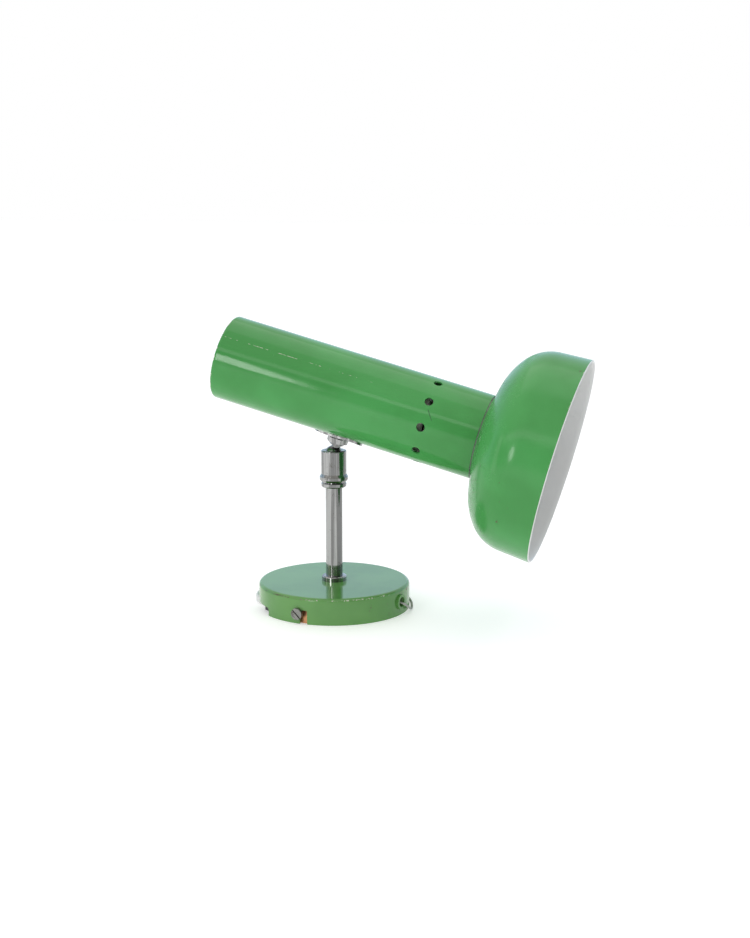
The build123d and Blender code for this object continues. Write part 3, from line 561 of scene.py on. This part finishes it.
def turned_piece(name, rings, steps):
    """A piece turned round z, grown ring by ring from a circle. A ring is (radius, height).

    The last ring joins the first, so the outline is a loop."""
    clear_selection()
    radius, height = rings[0]
    bpy.ops.mesh.primitive_circle_add(vertices=steps, radius=radius, location=(0, 0, height))
    piece = bpy.context.object
    bpy.ops.object.transform_apply(location=True, rotation=False, scale=False)
    bpy.ops.object.mode_set(mode="EDIT")
    bpy.ops.mesh.select_all(action="SELECT")
    for next_radius, next_height in rings[1:] + rings[:1]:
        bpy.ops.mesh.extrude_edges_move(TRANSFORM_OT_translate={"value": (0, 0, next_height - height)})
        factor = next_radius / radius
        bpy.ops.transform.resize(value=(factor, factor, 1))
        radius, height = next_radius, next_height
    bpy.ops.mesh.select_all(action="SELECT")
    bpy.ops.mesh.remove_doubles(threshold=MERGE_AT)
    bpy.ops.mesh.normals_make_consistent(inside=False)
    bpy.ops.object.mode_set(mode="OBJECT")
    bpy.ops.object.shade_smooth_by_angle(angle=math.radians(40))
    piece.name = name
    piece.data.name = name
    return piece


def put(piece, place_of):
    """Moves a finished piece to its place, with the place in its mesh."""
    clear_selection()
    piece.select_set(True)
    bpy.context.view_layer.objects.active = piece
    piece.matrix_world = place_of
    bpy.ops.object.transform_apply(location=True, rotation=True, scale=True)
    return piece


def wear(piece, body, slot, *materials):
    """The piece's materials and body. The slot is not used."""
    for material in materials:
        piece.data.materials.append(material)
    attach(piece, body)
    return piece


# ---------------------------------------------------------------- shade
def tangent_arc(start, end, along, count):
    """Points from start to end on the arc that leaves start in the direction along."""
    chord = end - start
    half = along.angle_signed(chord)
    points = []
    for step in range(1, count + 1):
        share = step / count
        reach = chord.length * math.sin(half * share) / math.sin(half)
        direction = along.copy()
        direction.rotate(Matrix.Rotation(-half * share, 2))
        points.append(start + direction.normalized() * reach)
    leaving = chord.normalized()
    leaving.rotate(Matrix.Rotation(-half, 2))
    return points, leaving


def shade_side(inset):
    """The shade's side from rim to root, that far inside its outer face."""
    skirt = (SHOULDER - RIM).normalized()

    def inner(point, along):
        return point + Vector((-along.y, along.x)) * inset

    points = [inner(RIM, skirt).lerp(inner(SHOULDER, skirt), step / 8) for step in range(9)]
    _, at_crown = tangent_arc(SHOULDER, CROWN, skirt, 16)
    _, at_root = tangent_arc(CROWN, ROOT, at_crown, 20)
    inner_shoulder, _ = tangent_arc(points[-1], inner(CROWN, at_crown), skirt, 16)
    inner_crown, _ = tangent_arc(inner(CROWN, at_crown), inner(ROOT, at_root), at_crown, 20)
    return points + inner_shoulder + inner_crown


def make_shade():
    """The shade as one turned shell, green outside, with a rolled lip and white inside."""
    outside = shade_side(0.0)
    inside = shade_side(SHADE_WALL)
    lip = [
        inside[0] + Vector((0.25, 0.2)) * MM,
        (inside[0] + outside[0]) / 2 + Vector((0.45, 0.0)) * MM,
        outside[0] + Vector((0.25, -0.2)) * MM,
    ]
    outline = lip + outside
    outline.append(Vector((ROOT.x - 0.1 * MM, NECK_R + 0.5 * MM)))
    outline.append(Vector((ROOT.x - 0.6 * MM, NECK_R)))
    outline.append(Vector((NECK_BACK + NECK_BEVEL, NECK_R)))
    outline.append(Vector((NECK_BACK, NECK_R - NECK_BEVEL)))
    outline.append(Vector((NECK_BACK, NECK_R - NECK_WALL)))
    outline.append(Vector((ROOT.x + SHADE_WALL, NECK_R - NECK_WALL)))
    outline += reversed(inside)
    piece = turned_piece("shade_shell", [(point.y, point.x) for point in outline], steps=192)
    put(piece, head_frame)
    wear(piece, "head", "green_enamel_on_aluminium", shade_enamel, white_enamel)
    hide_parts("shade")
    # The lip and everything that faces into the shade is white
    to_head = head_frame.inverted()
    for face in piece.data.polygons:
        local = to_head @ face.center
        normal = to_head.to_3x3() @ face.normal
        out = Vector((local.x, local.y, 0)).normalized()
        faces_mouth = normal.z > 0.5 and local.z > ROOT.x
        if normal.dot(out) < -0.05 or local.z > RIM.x or faces_mouth:
            face.material_index = 1
    return piece


make_shade()

# ---------------------------------------------------------------- cords
def round_post(angle, radius, height):
    """A place round the post's axis: degrees from +X, metres out and metres up."""
    turn = math.radians(angle)
    return Vector((radius * math.cos(turn), radius * math.sin(turn), height))


# Each point is an angle in degrees, and millimetres out from the base's rim and up
FLEX_RISE = 2.3
FLEX_ROUTE = [
    (-167.0, 0.7, FLEX_RISE),
    (-179.6, 4.1, FLEX_RISE),
    (167.7, 5.2, FLEX_RISE),
    (155.0, 6.0, FLEX_RISE),
    (143.0, 6.8, FLEX_RISE),
    (131.0, 7.8, FLEX_RISE),
    (119.0, 9.0, FLEX_RISE),
    (107.5, 10.8, FLEX_RISE),
    (97.0, 13.0, FLEX_RISE),
]
STRING_ROUTE = [
    (-14.5, -4.75, 8.0),
    (-14.5, 2.6, 7.6),
    (-7.5, 3.6, 3.0),
    (2.0, 2.4, 0.7),
    (12.0, 1.7, 0.7),
    (24.0, 1.7, 0.7),
    (36.0, 2.3, 0.7),
    (47.0, 3.6, 0.7),
    (57.0, 5.2, 0.7),
    (66.0, 6.8, 1.5),
    (75.0, 8.2, 3.5),
]
# The flex starts in its grip, which lies back from where it crosses the rim
GRIP_BACK = 17.0 * MM
flex_in_grip = round_post(-166, base_r, FLEX_RISE * MM) - round_post(140, GRIP_BACK, 0)


def route_places(route):
    """A route's points as places in metres."""
    return [round_post(angle, base_r + out * MM, up * MM) for angle, out, up in route]


def spline_points(name, route):
    """Points along the smooth line that a route's places pull on."""
    curve = bpy.data.curves.new(name + "_line", "CURVE")
    curve.dimensions = "3D"
    spline = curve.splines.new("NURBS")
    spline.points.add(len(route) - 1)
    for point, place_of in zip(spline.points, route):
        # Whole micrometres
        point.co = (*(round(value, 6) for value in place_of), 1.0)
    spline.order_u = 3
    spline.use_endpoint_u = True
    spline.resolution_u = 16
    holder = bpy.data.objects.new(name + "_line", curve)
    mesh = bpy.data.meshes.new_from_object(holder)
    points = [vertex.co.copy() for vertex in mesh.vertices]
    bpy.data.objects.remove(holder)
    bpy.data.curves.remove(curve)
    bpy.data.meshes.remove(mesh)
    return points


def along_line(name, points, section, twist=0.0):
    """A closed tube whose section, a function of the turn, is swept along the points."""
    count = 30
    vertices, faces = [], []
    run = 0.0
    for index, point in enumerate(points):
        before, after = points[max(index - 1, 0)], points[min(index + 1, len(points) - 1)]
        forward = (after - before).normalized()
        side = forward.cross(Vector((0, 0, 1))).normalized()
        up = side.cross(forward)
        run += (point - before).length if index else 0.0
        for step in range(count):
            turn = 2 * math.pi * step / count
            x, y = section(turn)
            spin = Matrix.Rotation(twist * run, 2) @ Vector((x, y))
            vertices.append(point + side * spin.x + up * spin.y)
    for index in range(len(points) - 1):
        for step in range(count):
            a, b = index * count + step, index * count + (step + 1) % count
            faces.append((a, b, b + count, a + count))
    faces.append(tuple(reversed(range(count))))
    faces.append(tuple(range(len(vertices) - count, len(vertices))))
    mesh = bpy.data.meshes.new(name)
    mesh.from_pydata(vertices, [], faces)
    piece = bpy.data.objects.new(name, mesh)
    bpy.context.scene.collection.objects.link(piece)
    clear_selection()
    piece.select_set(True)
    bpy.context.view_layer.objects.active = piece
    bpy.ops.object.mode_set(mode="EDIT")
    bpy.ops.mesh.select_all(action="SELECT")
    bpy.ops.mesh.normals_make_consistent(inside=False)
    bpy.ops.object.mode_set(mode="OBJECT")
    bpy.ops.object.shade_smooth_by_angle(angle=math.radians(50))
    return piece


def twin_section(turn):
    """Two round cores side by side with a groove between, the long way up."""
    width, thickness = FLEX_W / 2, FLEX_T / 2
    y = width * math.sin(turn)
    groove = 1.0 - 0.28 * math.exp(-((y / (0.42 * MM)) ** 2))
    blunt = abs(math.cos(turn)) ** 0.62
    return math.copysign(thickness * blunt * groove, math.cos(turn)), y


def strand_section(turn):
    """Three laid strands."""
    radius = (0.58 + 0.12 * abs(math.cos(1.5 * turn)) ** 1.2) * MM
    return radius * math.cos(turn), radius * math.sin(turn)


flex_line = spline_points("flex", [flex_in_grip] + route_places(FLEX_ROUTE))
supply_flex = along_line("twin_flex", flex_line, twin_section)
wear(supply_flex, "base", "white_flex", flex_pvc)
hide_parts("supply_flex")

string_line = spline_points("string", route_places(STRING_ROUTE))
pull_string = along_line("laid_string", string_line, strand_section, twist=1800.0)
wear(pull_string, "pull", "string", string_fibre)
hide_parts("pull_string")

# ---------------------------------------------------------------- studio
camera_data = bpy.data.cameras.new("camera")
camera_data.lens = 61.41
camera_data.sensor_width = 36.0
camera = bpy.data.objects.new("camera", camera_data)
camera.location = (0.2658, -0.8910, 0.2603)
camera.rotation_euler = Euler((math.radians(79.20), 0, math.radians(15.11)))
bpy.context.scene.collection.objects.link(camera)
bpy.context.scene.camera = camera

clear_selection()
bpy.ops.mesh.primitive_plane_add(size=12, location=(0, 0, -0.05 * MM))
floor = bpy.context.object
floor.name = "floor"
floor_paint, floor_tree, floor_shader, _ = new_material("pale_floor")
feed(floor_tree, floor_shader, Base_Color=(0.80, 0.80, 0.80, 1), Roughness=0.7)
feed(floor_tree, floor_shader, Emission_Color=(1, 1, 1, 1), Emission_Strength=0.36)
floor.data.materials.append(floor_paint)


def soft_light(name, place_of, target, size, power, shape="RECTANGLE"):
    """An area light at a place, turned to a target."""
    light = bpy.data.lights.new(name, "AREA")
    light.shape = shape
    light.size, light.size_y = size
    light.energy = power
    holder = bpy.data.objects.new(name, light)
    holder.location = place_of
    towards = Vector(target) - Vector(place_of)
    holder.rotation_euler = towards.to_track_quat("-Z", "Y").to_euler()
    bpy.context.scene.collection.objects.link(holder)


middle = (0.03, 0.0, 0.09)
soft_light("top_box", (0.1, 0.25, 1.1), middle, (1.2, 0.8), 2.2)
soft_light("strip", (-0.12, -0.82, 0.60), middle, (1.5, 0.14), 1.0)
soft_light("left_box", (-1.0, -0.5, 0.3), middle, (0.25, 0.7), 0.8)
soft_light("front_box", (-0.35, -1.0, 0.30), middle, (0.20, 0.30), 1.3, "ELLIPSE")
soft_light("post_strip", (0.12, -0.95, 0.12), (0, 0, 0.05), (0.05, 0.5), 0.2)

# A pale cool room, darker in front of the lamp but for a lighter left part, on a white background
world = bpy.data.worlds.new("studio")
bpy.context.scene.world = world
world.use_nodes = True
sky = world.node_tree
around = add(sky, "ShaderNodeTexCoord").outputs["Generated"]
direction = add(sky, "ShaderNodeSeparateXYZ", Vector=around)
background = sky.nodes["Background"]
in_front = ramp(sky, direction.outputs["Y"], 0.1, -0.4)
overhead = ramp(sky, direction.outputs["Z"], 0.25, 0.8)
to_left = ramp(sky, direction.outputs["X"], 0.15, -0.55)
front_wall = mix(sky, to_left, (0.17, 0.175, 0.18, 1), (0.50, 0.51, 0.52, 1))
far_left = ramp(sky, direction.outputs["X"], -0.62, -0.85)
front_wall = mix(sky, far_left, front_wall, (0.16, 0.165, 0.17, 1))
room = mix(sky, in_front, (0.72, 0.93, 1.12, 1), front_wall)
room = mix(sky, overhead, room, (0.95, 0.93, 0.88, 1))
seen = add(sky, "ShaderNodeLightPath").outputs["Is Camera Ray"]
sky.links.new(mix(sky, seen, room, grey(1.0)), background.inputs["Color"])
bpy.context.scene.view_settings.view_transform = "Standard"
